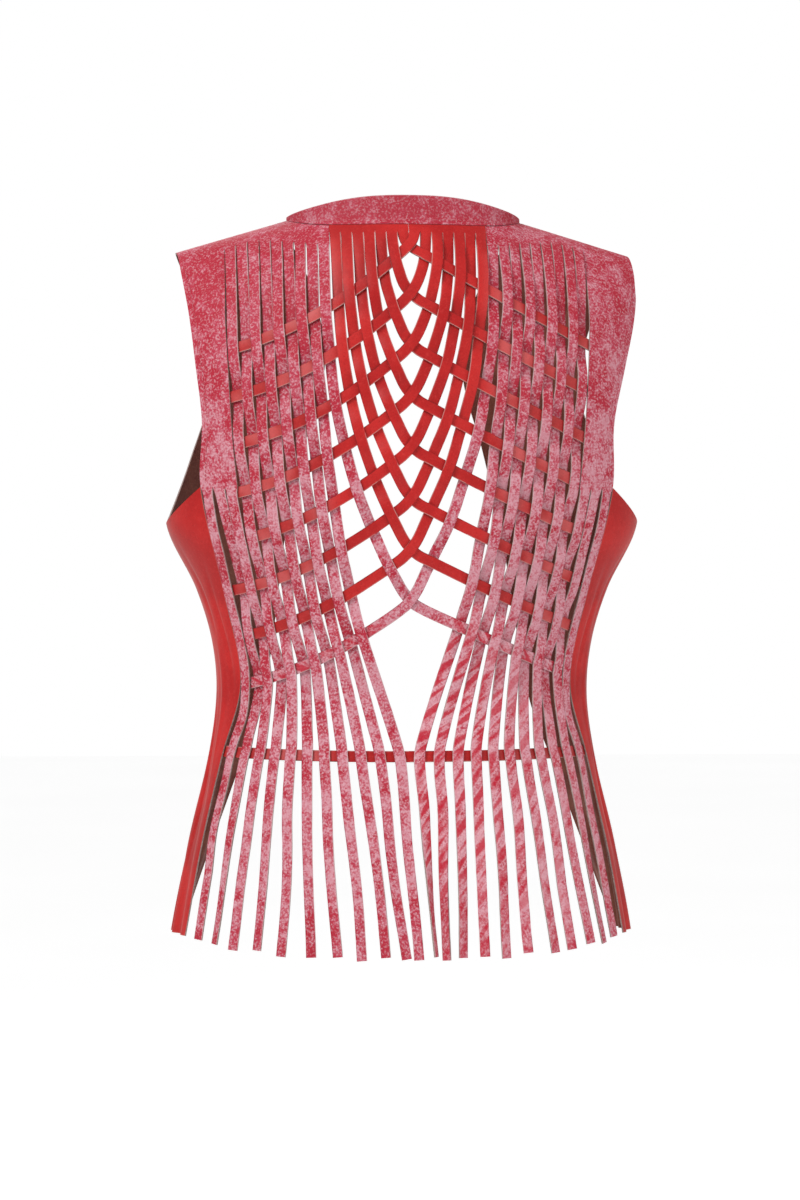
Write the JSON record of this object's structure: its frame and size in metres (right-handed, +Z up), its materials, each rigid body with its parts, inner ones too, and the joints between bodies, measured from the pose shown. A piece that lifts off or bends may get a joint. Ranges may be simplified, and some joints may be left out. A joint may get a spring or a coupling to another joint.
{
  "type": "leather vest with a woven strip back and fringe",
  "caption": "Sleeveless leather vest, open at the front, with a slit back woven of its own strips that hang as a fringe.",
  "frame": {"origin": "midway between the two points where the shoulder seams meet the neckband", "axes": "+Z up, back of the garment towards +Y, wearer's left towards +X"},
  "size_m": [0.3812, 0.2173, 0.6008],
  "materials": {
    "smooth_red_leather": "smooth, with a soft sheen",
    "frosted_red_leather": "scuffed, with a pale haze"
  },
  "bodies": {
    "root": {"neckband": "frosted_red_leather", "yoke_left": "smooth_red_leather", "yoke_right": "smooth_red_leather", "back_left": "frosted_red_leather", "back_right": "frosted_red_leather", "front_left": "smooth_red_leather", "front_right": "smooth_red_leather", "belt_strip": "smooth_red_leather"}
  },
  "joints": []
}
